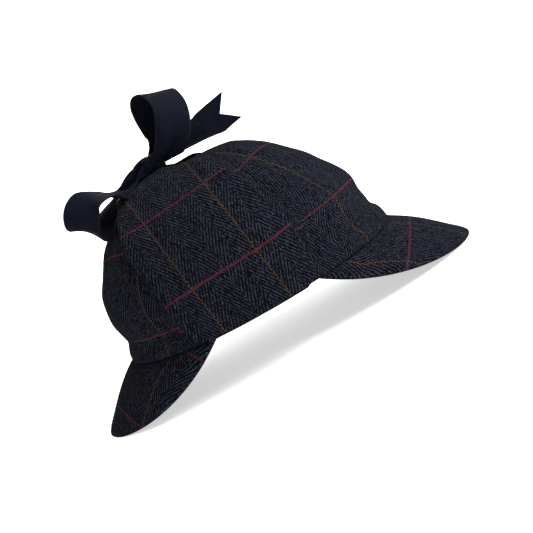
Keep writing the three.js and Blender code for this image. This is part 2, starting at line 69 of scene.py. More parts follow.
crown_low, crown_high = box_mm("crown")
FRONT_REACH, BACK_REACH = 1.008, 0.994  # of the rim, as shares of half its length
RIM_HALF_LENGTH = (crown_high[0] - crown_low[0]) / (FRONT_REACH + BACK_REACH)
RIM_HALF_WIDTH = (crown_high[1] - crown_low[1]) / 2
CROWN_CENTRE = crown_high[0] - FRONT_REACH * RIM_HALF_LENGTH
RIM_HEIGHT = crown_low[2]
CROWN_HEIGHT = crown_high[2] - crown_low[2]
print(f"rim {2 * RIM_HALF_LENGTH:.1f} by {2 * RIM_HALF_WIDTH:.1f} mm, "
      f"crown {CROWN_HEIGHT:.1f} mm high")

# %% [markdown]
# ## Tables and smooth curves
# A shape that has no formula is a short table of sections. A smooth curve through its rows
# gives every level between them. The curve is a Catmull-Rom spline: between two rows it is
# the cubic that leaves each with the slope of the line between its neighbours.


# %% A smooth curve through the rows of a table
def smooth(rows, share):
    """Rows (n, k) read at shares from 0 to 1 of the way down, on a Catmull-Rom spline:
    b + t/2 (c - a + t (2a - 5b + 4c - d + t (3(b - c) + d - a)))."""
    rows = np.asarray(rows, float)
    at = np.clip(np.asarray(share, float), 0, 1) * (len(rows) - 1)
    k = np.minimum(at.astype(int), len(rows) - 2)
    t = (at - k)[..., None]
    a, b, c, d = (rows[np.clip(k + i, 0, len(rows) - 1)] for i in (-1, 0, 1, 2))
    return b + t / 2 * (c - a + t * (2 * a - 5 * b + 4 * c - d + t * (3 * (b - c) + d - a)))


def ease(value, low, high):
    """0 below low, 1 above high, and 3t^2 - 2t^3 between them."""
    t = np.clip((value - low) / (high - low), 0, 1)
    return t * t * (3 - 2 * t)


def ripple(x, y, seed, size, count=7):
    """A soft random height between about -1 and 1: the mean of count sine waves in
    directions and phases drawn from a seed, each about size long."""
    draw = np.random.default_rng(seed)
    total = np.zeros(np.broadcast(x, y).shape)
    for turn, phase, stretch in draw.uniform(0, 1, (count, 3)):
        wave = 2 * math.pi / (size * (0.6 + 0.9 * stretch))
        turn *= 2 * math.pi
        total = total + np.sin(wave * (x * np.cos(turn) + y * np.sin(turn)) + 2 * math.pi * phase)
    return total / math.sqrt(count)


# %% [markdown]
# ## From grids to meshes
# A cloth piece has two faces. Each face is a grid of points, and both grids share their
# border, so that sewing them together along it gives one closed body. The UV map holds the
# place on the flat cloth in metres, so a pattern keeps its scale on every piece.


# %% Sew two grids into one closed mesh
def grid_faces(rows, columns, around):
    """The quads of a grid as vertex numbers, and the row and column of each corner."""
    last = columns if around else columns - 1
    r, c = np.meshgrid(np.arange(rows - 1), np.arange(last), indexing="ij")
    corners = [(r, c), (r, c + 1), (r + 1, c + 1), (r + 1, c)]
    places = np.stack([np.stack([i.ravel(), j.ravel()], -1) for i, j in corners], 1)
    return places[..., 0] * columns + places[..., 1] % columns, places


def make_cloth(name, outer, inner, outer_uv, inner_uv=None, around=False):
    """A closed piece from two grids (rows, columns, 3) in millimetres. The uv grids have one
    more column where the grid goes around; a list of them is one for each gore."""
    rows, columns = outer.shape[:2]
    quads, places = grid_faces(rows, columns, around)
    points = np.concatenate([outer.reshape(-1, 3), inner.reshape(-1, 3)]) * MM
    faces = np.concatenate([quads, quads[:, ::-1] + rows * columns])
    inner_uv = outer_uv if inner_uv is None else inner_uv

    def corner_uv(maps):
        if not isinstance(maps, list):
            return maps[places[..., 0], places[..., 1]]
        share = columns // len(maps)
        which = places[:, 0, 1] // share
        return np.stack(maps)[which[:, None], places[..., 0], places[..., 1]]

    uv = np.concatenate([corner_uv(outer_uv), corner_uv(inner_uv)[:, ::-1]]) * MM
    mesh = bpy.data.meshes.new(name)
    mesh.from_pydata(points.tolist(), [], faces.tolist())
    layer = mesh.uv_layers.new(name="cloth")
    layer.data.foreach_set("uv", uv.reshape(-1).astype(np.float32))
    return finish_mesh(name, mesh)


def finish_mesh(name, mesh):
    """Weld shared borders, point the faces outwards and shade smooth."""
    work = bmesh.new()
    work.from_mesh(mesh)
    bmesh.ops.remove_doubles(work, verts=work.verts, dist=2e-6)
    bmesh.ops.dissolve_degenerate(work, edges=work.edges, dist=1e-7)
    if work.calc_volume(signed=True) < 0:
        bmesh.ops.reverse_faces(work, faces=work.faces)
    for face in work.faces:
        face.smooth = True
    open_edges = sum(not edge.is_manifold for edge in work.edges)
    work.to_mesh(mesh)
    work.free()
    piece = bpy.data.objects.new(name, mesh)
    bpy.context.scene.collection.objects.link(piece)
    print(f"{name}: {len(mesh.polygons)} faces, {open_edges} open edges")
    return piece


def normals_of(grid, around=False):
    """The unit normals of a grid: the cross product of its two difference directions."""
    if around:
        across = np.roll(grid, -1, 1) - np.roll(grid, 1, 1)
    else:
        across = np.gradient(grid, axis=1)
    up = np.gradient(grid, axis=0)
    normal = np.cross(across, up)
    return normal / np.maximum(np.linalg.norm(normal, axis=-1, keepdims=True), 1e-9)


def lengths_along(grid, axis):
    """The distance travelled along an axis of a grid, starting at 0."""
    step = np.linalg.norm(np.diff(grid, axis=axis), axis=-1)
    start = np.zeros_like(np.take(step, [0], axis=axis))
    return np.concatenate([start, np.cumsum(step, axis=axis)], axis=axis)


# %% [markdown]
# ## The crown
# Six gores sewn side by side make a dome. It could be a lathe, but the rim is an oval, the
# front is upright and the rear bulges, so each level has its own reach to the front, back
# and side. Over the rim the cloth is drawn in by the seam inside, and bulges above it.

# %% The crown's levels, as the solids have them
# height as a share of the crown's, then the reach to the front, back and side as shares
CROWN_LEVELS = np.array([
    (0, 1.008, 0.994, 1),
    (0.048, 1.002, 0.991, 0.995),
    (0.092, 0.988, 0.975, 0.982),
    (0.135, 0.952, 0.96, 0.957),
    (0.203, 0.942, 0.979, 0.967),
    (0.27, 0.931, 0.994, 0.977),
    (0.348, 0.928, 0.994, 0.98),
    (0.415, 0.905, 0.982, 0.965),
    (0.493, 0.86, 0.953, 0.932),
    (0.57, 0.8, 0.905, 0.88),
    (0.667, 0.727, 0.84, 0.79),
    (0.758, 0.633, 0.774, 0.68),
    (0.845, 0.535, 0.667, 0.544),
    (0.903, 0.455, 0.58, 0.431),
    (0.942, 0.387, 0.484, 0.338),
    (0.971, 0.321, 0.387, 0.256),
    (0.99, 0.193, 0.252, 0.156),
    (1, 0, 0, 0),
])
CROWN_SCALE = np.array([CROWN_HEIGHT, RIM_HALF_LENGTH, RIM_HALF_LENGTH, RIM_HALF_WIDTH])
CROWN_WALL = 2.4
GORES = 6
GORE_FULLNESS = 1.1
SEAM_DEPTH, SEAM_WIDTH = 0.9, 1.5
DENT_HEIGHT, DENT_SIZE = 0.5, 34  # soft unevenness all over
PUCKER_HEIGHT, PUCKER_SIZE = 0.35, 13  # small folds where the band is drawn in
PUCKER_AT, PUCKER_SPREAD = 0.14, 0.06  # as shares of the crown's height


def crown_surface(angle, share):
    """The crown's outside: on each level x = reach cos, y = side sin of the angle, less the
    dip between full gores, a groove along each seam and small uneven dents."""
    height, front, back, side = np.moveaxis(smooth(CROWN_LEVELS, share) * CROWN_SCALE, -1, 0)
    reach = np.where(np.cos(angle) > 0, front, back)
    rise = height / CROWN_HEIGHT
    fullness = GORE_FULLNESS * (np.abs(np.sin(angle * GORES / 2)) - 1) * np.sin(math.pi * rise)
    from_seam = np.abs((angle * GORES / (2 * math.pi) + 0.5) % 1 - 0.5) * 2 * math.pi / GORES
    groove = SEAM_DEPTH * np.exp(-(from_seam * side / SEAM_WIDTH) ** 2) * ease(rise, 0.02, 0.12)
    dents = DENT_HEIGHT * ripple(angle * 70, height, 3, DENT_SIZE)
    dents = dents * ease(rise, 0.1, 0.3) * ease(1 - rise, 0, 0.15)
    puckers = PUCKER_HEIGHT * ripple(angle * 75, height * 0.4, 8, PUCKER_SIZE)
    puckers = puckers * np.exp(-((rise - PUCKER_AT) / PUCKER_SPREAD) ** 2)
    out = (fullness - groove + dents + puckers) * ease(side, 2, 14)
    x, y = (reach + out) * np.cos(angle), (side + out) * np.sin(angle)
    return np.stack([x, y, height + 0 * x], -1)


def place_crown(points):
    """From the crown's own centre to the hat's frame."""
    return points + np.array([CROWN_CENTRE, 0, RIM_HEIGHT])


# %% Make the crown
AROUND, UP = 240, 130
RIM_ROUND = 1.2
angles = 2 * math.pi * np.arange(AROUND) / AROUND
shares = np.concatenate([np.linspace(0, 0.02, 6), np.linspace(0.02, 1, UP)[1:]])
outside = crown_surface(angles[None, :], shares[:, None])
outside[-1] = outside[-1].mean(0)
facing = normals_of(outside, around=True)
facing[-1] = (0, 0, 1)
from_rim = lengths_along(outside, 0)
rounded = np.sqrt(1 - (1 - np.clip(from_rim / RIM_ROUND, 0, 1)) ** 2)[..., None]
middle = outside - facing * CROWN_WALL / 2
outer = middle + facing * CROWN_WALL / 2 * rounded
inner = middle - facing * CROWN_WALL / 2 * rounded
inner[-1] = inner[-1].mean(0)
outer[:, :, 2] = np.maximum(outer[:, :, 2], 0)
inner[:, :, 2] = np.clip(inner[:, :, 2], 0, CROWN_HEIGHT - CROWN_WALL)

# %% [markdown]
# Each gore is cut with the cloth's lengthways lines along its middle. So a gore's own UV map
# measures across from its middle line, and up along it from the rim. On a dome a level line
# isn't straight in the flat gore: its ends lie higher than its middle, as on a cone that is
# rolled out. How much depends on how fast the crown narrows there.

# %% Lay the cloth on the gores
RED_SPACING = 63.5
OCHRE_SPACING = 46.4
# for the front, side and rear gores: how far the cloth is turned, its ochre line from the
# gore's middle, its lowest red line over the rim, and the share of the lift at its ends
FRONT_GORE = (math.radians(-1.2), -14.2, 41.0, 1.0)
SIDE_GORE = (0.0, 9.0, 36.5, 0.5)
REAR_GORE = (math.radians(-0.8), 21.5, 17.0, 1.0)
closed = np.concatenate([outside, outside[:, :1]], 1)
across_all = lengths_along(closed, 1)
per_gore = AROUND // GORES
girth = across_all[:, -1]
risen = from_rim.mean(1)
bend = np.clip(-np.gradient(girth, risen) / np.maximum(girth, 1), 0, 1 / 15)
gore_maps = []
for gore in range(GORES):
    mid = gore * per_gore + per_gore // 2
    up = from_rim[:, mid][:, None] * np.ones((1, AROUND + 1))
    facing_front = math.cos(2 * math.pi * mid / AROUND)
    gore_cut = SIDE_GORE
    if abs(facing_front) > 0.5:
        gore_cut = FRONT_GORE if facing_front > 0 else REAR_GORE
    turn, ochre_at, red_at, lift = gore_cut
    # The far gores are cut as mirror images of the near ones.
    side = 1 if mid > AROUND / 2 else -1
    across = side * (across_all - across_all[:, mid:mid + 1])
    side_u = across * math.cos(turn) + up * math.sin(turn) - ochre_at
    lifted = up + lift * across ** 2 / 2 * bend[:, None]
    side_v = lifted * math.cos(turn) - across * math.sin(turn) - red_at
    gore_maps.append(np.stack([side_u, side_v], -1))
crown = make_cloth("crown_cloth", place_crown(outer), place_crown(inner), gore_maps, around=True)

# %% [markdown]
# ## The peaks
# A peak is two layers of tweed over a stiff card. The card is flat, and sewing its inner
# edge to the oval rim bends it down at the sides. So its surface runs in straight lines
# from the rim to the edge, and the cloth on it is still flat across those lines.

# %% Sizes of the peaks
PEAK_THICKNESS = 3.6
PEAK_BULGE = 2.6
PEAK_FOOT = 3.0
PEAK_SIDE_ANGLE = math.radians(67.2)
PEAK_EDGE_HALF_WIDTH = 79.2
PEAK_SLOPE = math.radians(37)
ROOT_LIFT, ROOT_TUCK = 0.6, 3.0
END_COLUMNS = 8
END_PULL = 5.0  # how far the edge's ends are drawn in, so the corners are round
PINCH, PINCH_WIDTH = 0.75, 7.0  # the edge's thickness as a share, and how wide it is thin
GAP = 0.3
PEAK_DENT, PEAK_DENT_SIZE = 0.35, 40


def peak_surface(s, v, depth):
    """The peak's upper face, for s from -1 to 1 along the rim and v from 0 at the rim to 1 at
    the edge: a straight line from the rim's oval to the edge's, plus a low bulge."""
    edge_x = RIM_HALF_LENGTH + depth
    edge_end = math.acos(RIM_HALF_LENGTH * math.cos(PEAK_SIDE_ANGLE) / edge_x)
    seam_turn, edge_turn = s * PEAK_SIDE_ANGLE, s * edge_end
    seam = np.stack([
        RIM_HALF_LENGTH * np.cos(seam_turn), RIM_HALF_WIDTH * np.sin(seam_turn), -GAP + 0 * s], -1)
    fall = RIM_HEIGHT - GAP - PEAK_THICKNESS + PEAK_FOOT * RIM_HEIGHT / depth
    drop = fall * (1 - np.abs(s) ** 3.5)
    edge = np.stack([
        edge_x * np.cos(edge_turn), PEAK_EDGE_HALF_WIDTH * np.sin(edge_turn), -GAP - drop], -1)
    toward = np.array([RIM_HALF_LENGTH, 0, 0]) - seam
    toward[..., 2] = -RIM_HALF_LENGTH / 2
    toward /= np.linalg.norm(toward, axis=-1, keepdims=True)
    edge += toward * (END_PULL * np.abs(s) ** 12)[..., None]
    point = seam + (edge - seam) * v[..., None]
    point[..., 2] += PEAK_BULGE * 4 * v * (1 - v) * (1 - np.abs(s) ** 4)
    return point


def oval_arc(y):
    """The length along the rim's oval, seen down the peak's slope, from its middle to y."""
    steps = np.linspace(0, RIM_HALF_WIDTH * 0.995, 400)
    depth = math.sin(PEAK_SLOPE) * RIM_HALF_LENGTH * np.sqrt(1 - (steps / RIM_HALF_WIDTH) ** 2)
    arc = np.concatenate([[0], np.cumsum(np.hypot(np.diff(steps), np.diff(depth)))])
    return np.sign(y) * np.interp(np.abs(y), steps, arc)


# %% [markdown]
# ### Cloth on the peaks
# Pulled over the card, the cloth isn't quite flat: it fans out a little towards the edge and
# its ends. The lines of the overcheck show that, so the place on the flat cloth is found
# from the arc along the rim and the way down the slope, and then widened.

# %% How the cloth fans out
FAN_AT, FAN_REACH = 85.0, 73.0  # where the peak starts, and half its length
FAN_START, FAN_GROWTH = 0.954, 0.0029  # down the middle
END_START, END_GROWTH = 0.12, 0.003  # more at the ends
FAN_LEAST, FAN_MOST = 0.93, 1.15


def fanned_out(across, down):
    """The share by which the cloth is widened: a straight line down the peak, plus another
    times the square of the way across."""
    past = down - FAN_AT
    middle = FAN_START + FAN_GROWTH * past
    ends = (across / FAN_REACH) ** 2 * (END_START + END_GROWTH * past)
    return np.clip(middle + ends, FAN_LEAST, FAN_MOST)


# %% Make the peaks
def border_steps(length, fine, count):
    """Distances from 0 to length that crowd towards the end, where an edge is rounded."""
    inner_part = np.linspace(0, length - fine, count)
    turn = np.linspace(0, math.pi / 2, 9)[1:]
    return np.concatenate([inner_part, length - fine + fine * np.sin(turn)])


def make_peak(name, direction, depth, ochre_at, red_at, turn, seed):
    """Both faces stand half the thickness off the middle surface, and round off in a
    quarter circle to the edge, where the peak is thinner because its layers are sewn."""
    s = np.linspace(-1, 1, 261)
    along = border_steps(1, 0.045, 60)
    grid_s, grid_v = np.meshgrid(s, along, indexing="xy")
    upper = peak_surface(grid_s, grid_v, depth)
    normal = normals_of(upper)
    normal *= np.sign(normal[..., 2:3] + 1e-9)
    # At the very ends the grid is too narrow to have a direction of its own.
    normal[:, :END_COLUMNS] = normal[:, END_COLUMNS:END_COLUMNS + 1]
    normal[:, -END_COLUMNS:] = normal[:, -END_COLUMNS - 1:-END_COLUMNS]
    uneven = PEAK_DENT * ripple(upper[..., 0], upper[..., 1], seed, PEAK_DENT_SIZE)
    uneven = uneven * ease(1 - grid_v, 0, 0.2) * ease(grid_v, 0, 0.2)
    upper = upper + normal * uneven[..., None]
    half = PEAK_THICKNESS / 2
    # Its root is tucked up inside the crown's edge.
    root = 1 - ease(grid_v, 0, 0.08)
    upper[..., 2] += ROOT_LIFT * root
    upper[..., :2] *= 1 - (ROOT_TUCK / RIM_HALF_LENGTH * root)[..., None]
    centre = upper - normal * half
    run = lengths_along(upper, 0)
    from_edge = run[-1:] - run
    side_run = lengths_along(upper, 1)
    from_side = np.minimum(side_run, side_run[:, -1:] - side_run)
    near = np.minimum(from_edge, from_side)
    round_off = np.sqrt(1 - (1 - np.clip(near / half, 0, 1)) ** 2)
    pinch = PINCH + (1 - PINCH) * ease(near, 1.0, PINCH_WIDTH)
    swell = (half * round_off * pinch)[..., None]
    top, under = centre + normal * swell, centre - normal * swell
    # The two faces meet in one line at the root too.
    top[0] = under[0] = centre[0]
    for face in (top, under):
        face[..., 2] = np.maximum(face[..., 2], -RIM_HEIGHT)
    flat_u = oval_arc(top[..., 1])
    flat_v = top[..., 0] * math.cos(PEAK_SLOPE) - top[..., 2] * math.sin(PEAK_SLOPE)
    fan = fanned_out(flat_u, flat_v)
    flat_u, flat_v = flat_u * fan - ochre_at, flat_v - turn * flat_u - red_at
    turned = np.array([direction, 1, 1])
    uv = np.stack([flat_u, flat_v], -1)
    return make_cloth(name, place_crown(top * turned), place_crown(under * turned), uv)


front_reach = box_mm("front_peak")[1, 0]
back_reach = box_mm("back_peak")[0, 0]
FRONT_DEPTH = front_reach - CROWN_CENTRE - RIM_HALF_LENGTH
BACK_DEPTH = CROWN_CENTRE - back_reach - RIM_HALF_LENGTH
front_peak = make_peak("front_peak_cloth", 1, FRONT_DEPTH,
                       ochre_at=-21.3, red_at=98.6, turn=0.12, seed=21)
back_peak = make_peak("back_peak_cloth", -1, BACK_DEPTH,
                      ochre_at=-54.8, red_at=50.0, turn=0.0, seed=22)

# %% [markdown]
# ## The ear flaps
# A flap is sewn to the rim and turned up, so it lies on the crown like a second, thicker
# skin. Each of its points is found by going out from the crown's middle line at an angle
# until the crown is met. It stands off by its padding, and its edge is thick and round.

# %% Find the crown from inside
crown_samples = smooth(CROWN_LEVELS, np.linspace(0, 1, 400)) * CROWN_SCALE
bridge_row = int(np.argmax(CROWN_LEVELS[:, 0] > 0.34))
bridge_height = CROWN_LEVELS[bridge_row, 0] * CROWN_HEIGHT


def reaches_at(z):
    """Reach to the front, back and side at a height, with the pinch over the rim left out:
    there it is at least the straight line from the rim to the bulge."""
    found = []
    for column in (1, 2, 3):
        plain = np.interp(z, crown_samples[:, 0], crown_samples[:, column])
        foot = crown_samples[0, column]
        head = CROWN_LEVELS[bridge_row, column] * CROWN_SCALE[column]
        line = foot + (head - foot) * np.clip(z / bridge_height, 0, 1)
        found.append(np.where(z < bridge_height, np.maximum(plain, line), plain))
    return found


def crown_along(x, angle):
    """Where a ray at an angle over the rim, in the upright plane at x, leaves the crown. The
    distance is halved between a point inside and one outside 40 times."""
    near = np.zeros(np.broadcast(x, angle).shape)
    far = np.full_like(near, 2 * RIM_HALF_LENGTH)
    for _ in range(40):
        reach = (near + far) / 2
        y, z = -reach * np.cos(angle), reach * np.sin(angle)
        front, back, side = reaches_at(z)
        x_reach = np.maximum(np.where(x > 0, front, back), 1e-6)
        inside = (z < CROWN_HEIGHT) & ((x / x_reach) ** 2 + (y / np.maximum(side, 1e-6)) ** 2 < 1)
        near, far = np.where(inside, reach, near), np.where(inside, far, reach)
    return np.stack([x + 0 * near, -near * np.cos(angle), near * np.sin(angle)], -1)


# %% Make the flaps
# how far up as a share of the tip's angle, then the rear and front edges as shares
FLAP_LEVELS = np.array([
    (0, -0.55, 0.74),
    (0.034, -0.72, 0.88),
    (0.09, -0.79, 0.945),
    (0.23, -0.8, 0.95),
    (0.4, -0.845, 0.9),
    (0.57, -0.915, 0.775),
    (0.7, -0.925, 0.633),
    (0.84, -0.87, 0.43),
    (0.93, -0.79, 0.3),
    (0.975, -0.69, 0.17),
    (1, -0.55, 0.06),
])
FLAP_HALF_WIDTH, FLAP_CENTRE = 54.0, -12.0
FLAP_THICKNESS, FLAP_GAP = 5.6, 0.6
FLAP_TIP = math.radians(88.6)
FLAP_TURN = math.radians(8)  # the cloth's lines lean backwards as they go up
FLAP_OCHRE_AT, FLAP_RED_AT = 16.5, 39.5
TOP_EASING, FRONT_EASING = 10.0, 6.0
REAR_CURL, FRONT_CURL = 2.6, 0.9  # how far the free edges lift off
FLAP_ROUND = 3.2
FLAP_PUFF, FLAP_DENT, FLAP_DENT_SIZE = 0.1, 0.05, 45
PRESSED = 0.75  # how much of the thickness goes at the tips' front corners


def flap_grid(across, up):
    """x and angle over the flap: between the rear and front edges of each level, with the
    steps crowded towards all four borders."""
    even_across, even_up = np.linspace(0, 1, across), np.linspace(0, 1, up)
    share_across = 0.75 * (1 - np.cos(math.pi * even_across)) / 2 + 0.25 * even_across
    share_up = 0.7 * (1 - np.cos(math.pi * even_up)) / 2 + 0.3 * even_up
    rows = smooth(FLAP_LEVELS, share_up)
    angle = rows[:, 0:1] * FLAP_TIP * np.ones((1, across))
    rear, front = rows[:, 1:2], rows[:, 2:3]
    return FLAP_CENTRE + FLAP_HALF_WIDTH * (rear + (front - rear) * share_across), angle


x, angle = flap_grid(150, 190)
on_crown = crown_along(x, np.maximum(angle, 0.001))
away = normals_of(on_crown)
away *= np.sign((away * np.array([0, -1, 1])).sum(-1, keepdims=True) + 1e-9)
lean = ease(angle / FLAP_TIP, 0.85, 1)
away[..., 1] = np.minimum(away[..., 1], 0) * (1 - lean)
away[..., 2] *= ease(angle, 0.0, 0.12)
away /= np.linalg.norm(away, axis=-1, keepdims=True)
run_up, run_across = lengths_along(on_crown, 0), lengths_along(on_crown, 1)
edge_distance = np.minimum(np.minimum(run_up, run_up[-1:] - run_up),
                           np.minimum(run_across, run_across[:, -1:] - run_across))
round_off = np.sqrt(1 - (1 - np.clip(edge_distance / FLAP_ROUND, 0, 1)) ** 2)
puff = 1 + FLAP_PUFF * ease(edge_distance, 3, 18)
puff = puff + FLAP_DENT * ripple(x, run_up, 31, FLAP_DENT_SIZE)
# The bow's strings press the tips' front corners flat.
pressed = 1 - PRESSED * ease(angle / FLAP_TIP, 0.75, 0.97) * ease(x, -18, -6)
half = FLAP_THICKNESS / 2 * round_off * pressed
from_rear, from_front = run_across, run_across[:, -1:] - run_across
free = ease(angle / FLAP_TIP, 0.06, 0.3) * (1 - ease(angle / FLAP_TIP, 0.8, 0.98))
curl = REAR_CURL * (1 - ease(from_rear, 0, 22)) + FRONT_CURL * (1 - ease(from_front, 0, 18))
curl = free * curl
middle = on_crown + away * (FLAP_GAP + FLAP_THICKNESS / 2 * pressed + curl)[..., None]
flap_outer = middle + away * (half * puff)[..., None]
flap_inner = middle - away * half[..., None]

# %% [markdown]
# ### Cloth on the flaps
# The flap is cut from a flat piece whose yarns lean backwards as they go up. Its crossing
# lines are measured up over the crown from the rim, in upright planes across the hat.

# %% Lay the cloth on the flap
upright_x = np.linspace(-72, 46, 60)
upright_run = lengths_along(crown_along(upright_x[None, :], np.maximum(angle[:, :1], 0.001)), 0)
height_up = np.stack([
    np.interp(row_x, upright_x, run) for row_x, run in zip(x, upright_run, strict=True)])
flat_u = (x - FLAP_OCHRE_AT) * math.cos(FLAP_TURN) + height_up * math.sin(FLAP_TURN)
# Over the crown's turn the cloth is eased, so its crossing lines lie lower there.
over_top = ease(height_up, 40, 95)
eased = TOP_EASING * over_top + FRONT_EASING * ease(x, -45, 40) * (1 - over_top)
flat_v = height_up * math.cos(FLAP_TURN) - (x - FLAP_CENTRE) * math.sin(FLAP_TURN)
flat_v += eased - FLAP_RED_AT
flap_uv = np.stack([flat_u, flat_v], -1)


def make_flap(name, side):
    """The flap as it is for side 1, and mirrored across the hat's middle for side -1."""
    mirror = np.array([1, side, 1])
    return make_cloth(
        name, place_crown(flap_outer * mirror), place_crown(flap_inner * mirror), flap_uv)


flap_right = make_flap("ear_flap_right_cloth", 1)
flap_left = make_flap("ear_flap_left_cloth", -1)

# %% [markdown]
# ## The ribbon bow
# A corded ribbon, woven with fine ribs across it, is tied on top. Each loop and end is a
# strip carried along a route: the route gives its middle, the way across it and how far it
# is gathered. Where it is narrowed to run into the knot, it is folded, not shrunk, so its
# section is bent into a wave whose length stays the ribbon's width.

# %% The bow's frame
RIBBON_WIDTH, RIBBON_THICKNESS = 26.0, 0.8
FRONT_LOOP_LENGTH, REAR_LOOP_LENGTH, TAIL_LENGTH = 50.0, 62.0, 68.0
TAIL_NOTCH = 11.0
BOW_LEAN, BOW_TILT = math.radians(29.7), math.radians(10.7)
knot_low, knot_high = box_mm("bow_knot")
KNOT_MIDDLE = (knot_low + knot_high) / 2
KNOT_SIZE = knot_high - knot_low
leaning_up = np.array([0, math.sin(BOW_TILT), math.cos(BOW_TILT)])
ahead = np.array([1.0, 0, 0])
BOW_AXES = np.array([
    ahead * math.cos(BOW_LEAN) - leaning_up * math.sin(BOW_LEAN),
    ahead * math.sin(BOW_LEAN) + leaning_up * math.cos(BOW_LEAN),
    [0, -math.cos(BOW_TILT), math.sin(BOW_TILT)],
])

# right, up and near from the knot as shares of the length, across in the same axes, width
FRONT_LOOP = np.array([
    (0.03, 0.01, 0.03, 0.95, 0.1, -0.3, 0.4),
    (0.17, 0.07, 0.1, 0.95, 0.1, -0.3, 0.7),
    (0.26, 0.2, 0.17, 0.93, 0.1, -0.35, 0.84),
    (0.3, 0.38, 0.24, 0.92, 0.05, -0.39, 0.97),
    (0.29, 0.64, 0.26, 0.92, 0.04, -0.39, 1),
    (0.21, 0.84, 0.18, 0.91, 0.15, -0.39, 1),
    (0.06, 0.965, 0, 0.88, 0.27, -0.39, 1),
    (-0.08, 0.86, -0.16, 0.91, 0.12, -0.39, 1),
    (-0.04, 0.64, -0.18, 0.92, 0, -0.39, 0.97),
    (0.06, 0.36, -0.12, 0.92, 0, -0.39, 0.8),
    (0.05, 0.2, -0.07, 0.92, 0, -0.39, 0.5),
    (0.01, 0.08, -0.04, 0.92, 0, -0.39, 0.36),
])
REAR_LOOP = np.array([
    (-0.02, -0.01, 0.03, 0.6, -0.6, 0.5, 0.36),
    (-0.11, -0.1, 0.05, 0.6, -0.6, 0.5, 0.42),
    (-0.175, -0.25, 0.07, 0.7, -0.5, 0.5, 0.48),
    (-0.3, -0.365, 0.13, 0.72, -0.1, 0.68, 0.72),
    (-0.5, -0.375, 0.23, 0.86, -0.02, 0.48, 1),
    (-0.69, -0.46, 0.32, 0.95, -0.06, 0.3, 1),
    (-0.75, -0.62, 0.35, 0.98, -0.04, 0.2, 1),
    (-0.71, -0.78, 0.26, 0.95, -0.22, 0.2, 1),
    (-0.56, -0.77, 0.08, 0.62, -0.5, 0.6, 1),
    (-0.38, -0.5, -0.1, 0.62, -0.5, 0.6, 0.9),
    (-0.24, -0.2, -0.12, 0.6, -0.4, 0.7, 0.55),
    (-0.1, -0.08, -0.07, 0.6, -0.5, 0.6, 0.42),
    (-0.02, -0.01, -0.03, 0.6, -0.5, 0.6, 0.36),
])
FRONT_TAIL = np.array([
    (0.06, 0, -0.04, 0.2, -0.2, 0.9, 0.34),
    (0.14, 0.035, -0.09, 0.25, -0.35, 0.85, 0.42),
    (0.24, 0.14, -0.12, 0.25, -0.65, 0.65, 0.55),
    (0.36, 0.25, -0.15, 0.22, -0.85, 0.46, 0.88),
    (0.52, 0.36, -0.14, 0.24, -0.9, 0.36, 1),
    (0.66, 0.485, -0.14, 0.22, -0.92, 0.34, 1),
    (0.81, 0.61, -0.12, 0.12, -0.94, 0.3, 1),
])
# along, aside and up from the knot as shares of the length, and the width
FAR_TAIL = np.array([
    (0, 0.04, 0, 0.36),
    (0, 0.13, -0.01, 0.42),
    (-0.03, 0.25, -0.03, 0.7),
    (-0.08, 0.42, -0.09, 1),
    (-0.12, 0.6, -0.2, 1),
    (-0.15, 0.76, -0.35, 1),
    (-0.18, 0.88, -0.45, 1),
])


# %% [markdown]
# ### Ribbon that lies on the hat
# A drawn route can pass through the cloth under it. A cloth simulation would find
# where the ribbon comes to rest. Here each point that is too deep is moved straight out
# until it clears the crown, or the flap where one lies under it.

# %% Keep ribbon off the hat
BARE_CLEARANCE, FLAP_CLEARANCE = 1.0, 7.6
FLAP_FROM, FLAP_WHOLE = -61.0, -54.5  # between these x the clearance grows


def off_the_hat(points):
    """Points inside the crown or a flap, moved straight out from the crown's middle line
    until they clear it: distance = max(own distance, the crown's + the clearance)."""
    local = points - place_crown(np.zeros(3))
    turn = np.arctan2(local[..., 2], np.abs(local[..., 1]))
    own = np.hypot(local[..., 1], local[..., 2])
    crown_reach = np.linalg.norm(crown_along(local[..., 0], turn)[..., 1:], axis=-1)
    over_flap = ease(local[..., 0], FLAP_FROM, FLAP_WHOLE)
    clearance = BARE_CLEARANCE + (FLAP_CLEARANCE - BARE_CLEARANCE) * over_flap
    push = np.maximum(crown_reach + clearance - own, 0)
    away = local * np.array([0, 1, 1]) / np.maximum(own, 1e-6)[..., None]
    return points + away * push[..., None]


# %% Carry a ribbon along a route
FOLD_SHARE, FOLD_START = 2.4, 0.6  # how shallow the folds are, and where their wave starts
CUP = 0.035  # a ribbon is never quite flat across


